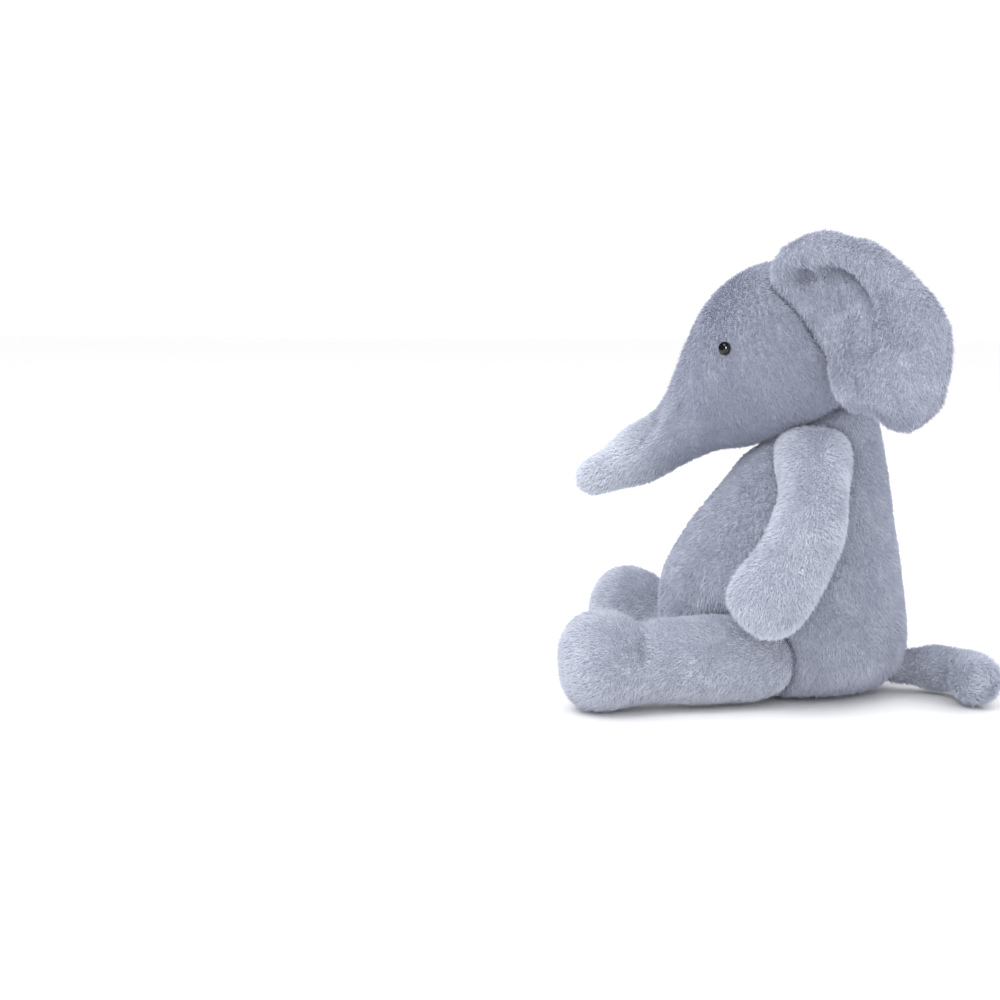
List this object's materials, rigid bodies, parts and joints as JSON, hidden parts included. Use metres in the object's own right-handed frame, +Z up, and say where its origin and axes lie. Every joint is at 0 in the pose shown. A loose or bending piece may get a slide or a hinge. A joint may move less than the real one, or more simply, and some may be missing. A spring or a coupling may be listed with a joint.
{
  "type": "stuffed elephant",
  "caption": "Seated plush elephant with a ball head, drooping trunk, wide ears, hanging arms, splayed legs and a curled tail, all sewn and filled.",
  "frame": {"origin": "on the surface that the elephant sits on, under the middle of its overall box", "axes": "+Z up, -Y the way the elephant faces, +X to the elephant's own left"},
  "size_m": [0.2094, 0.2124, 0.2287],
  "materials": {
    "plush": "matte",
    "long_plush": "matte",
    "filling": "matte",
    "pouch": "matte",
    "beads": "matte",
    "eye": "gloss",
    "washer": "matte"
  },
  "bodies": {
    "torso": {"torso_seat_panel": "plush", "torso_belly_panel": "plush", "torso_back_panel": "plush", "torso_stuffing": "filling", "bean_pouch": "pouch", "bean_filling": "beads"},
    "head": {"head_panel_left": "plush", "head_panel_right": "plush", "head_stuffing": "filling", "eye_left": "eye", "eye_right": "eye", "eye_washer_left": "washer", "eye_washer_right": "washer"},
    "trunk": {"trunk_upper_panel": "plush", "trunk_lower_panel": "plush", "trunk_stuffing": "filling"},
    "tail": {"tail_upper_panel": "long_plush", "tail_lower_panel": "long_plush", "tail_stuffing": "filling"},
    "ear_left": {"ear_left_front_panel": "plush", "ear_left_back_panel": "plush", "ear_left_padding": "filling"},
    "arm_left": {"arm_left_outer_panel": "plush", "arm_left_inner_panel": "plush", "arm_left_stuffing": "filling"},
    "leg_left": {"leg_left_upper_panel": "plush", "leg_left_lower_panel": "plush", "leg_left_sole": "plush", "leg_left_stuffing": "filling"},
    "ear_right": {"ear_right_front_panel": "plush", "ear_right_back_panel": "plush", "ear_right_padding": "filling"},
    "arm_right": {"arm_right_outer_panel": "plush", "arm_right_inner_panel": "plush", "arm_right_stuffing": "filling"},
    "leg_right": {"leg_right_upper_panel": "plush", "leg_right_lower_panel": "plush", "leg_right_sole": "plush", "leg_right_stuffing": "filling"}
  },
  "joints": [
    {"name": "head_turn", "type": "hinge", "parent": "torso", "child": "head", "pos_m": [0, -0.002, 0.168], "axis": [0, 0, 1], "range_deg": [-25, 25], "stiffness_Nm_per_rad": 0.05},
    {"name": "trunk_lift", "type": "hinge", "parent": "head", "child": "trunk", "pos_m": [0, -0.038, 0.141], "axis": [-1, 0, 0], "range_deg": [-8, 30], "stiffness_Nm_per_rad": 0.2},
    {"name": "tail_wag", "type": "hinge", "parent": "torso", "child": "tail", "pos_m": [0, 0.055, 0.012], "axis": [0, 0, 1], "range_deg": [-15, 20], "stiffness_Nm_per_rad": 0.05},
    {"name": "ear_left_flap", "type": "hinge", "parent": "head", "child": "ear_left", "pos_m": [0.0438, 0.0159, 0.18], "axis": [0, 0, -1], "range_deg": [-12, 25], "stiffness_Nm_per_rad": 0.05},
    {"name": "arm_left_swing", "type": "hinge", "parent": "torso", "child": "arm_left", "pos_m": [0.042, 0.015, 0.113], "axis": [-1, 0, 0], "range_deg": [-10, 50], "stiffness_Nm_per_rad": 0.3},
    {"name": "leg_left_splay", "type": "hinge", "parent": "torso", "child": "leg_left", "pos_m": [0.042, -0.011, 0.024], "axis": [0, 0, 1], "range_deg": [-4, 15], "stiffness_Nm_per_rad": 0.2},
    {"name": "ear_right_flap", "type": "hinge", "parent": "head", "child": "ear_right", "pos_m": [-0.0438, 0.0159, 0.18], "axis": [0, 0, 1], "range_deg": [-12, 25], "stiffness_Nm_per_rad": 0.05},
    {"name": "arm_right_swing", "type": "hinge", "parent": "torso", "child": "arm_right", "pos_m": [-0.042, 0.015, 0.113], "axis": [-1, 0, 0], "range_deg": [-10, 50], "stiffness_Nm_per_rad": 0.3},
    {"name": "leg_right_splay", "type": "hinge", "parent": "torso", "child": "leg_right", "pos_m": [-0.042, -0.011, 0.024], "axis": [0, 0, -1], "range_deg": [-4, 15], "stiffness_Nm_per_rad": 0.2}
  ]
}
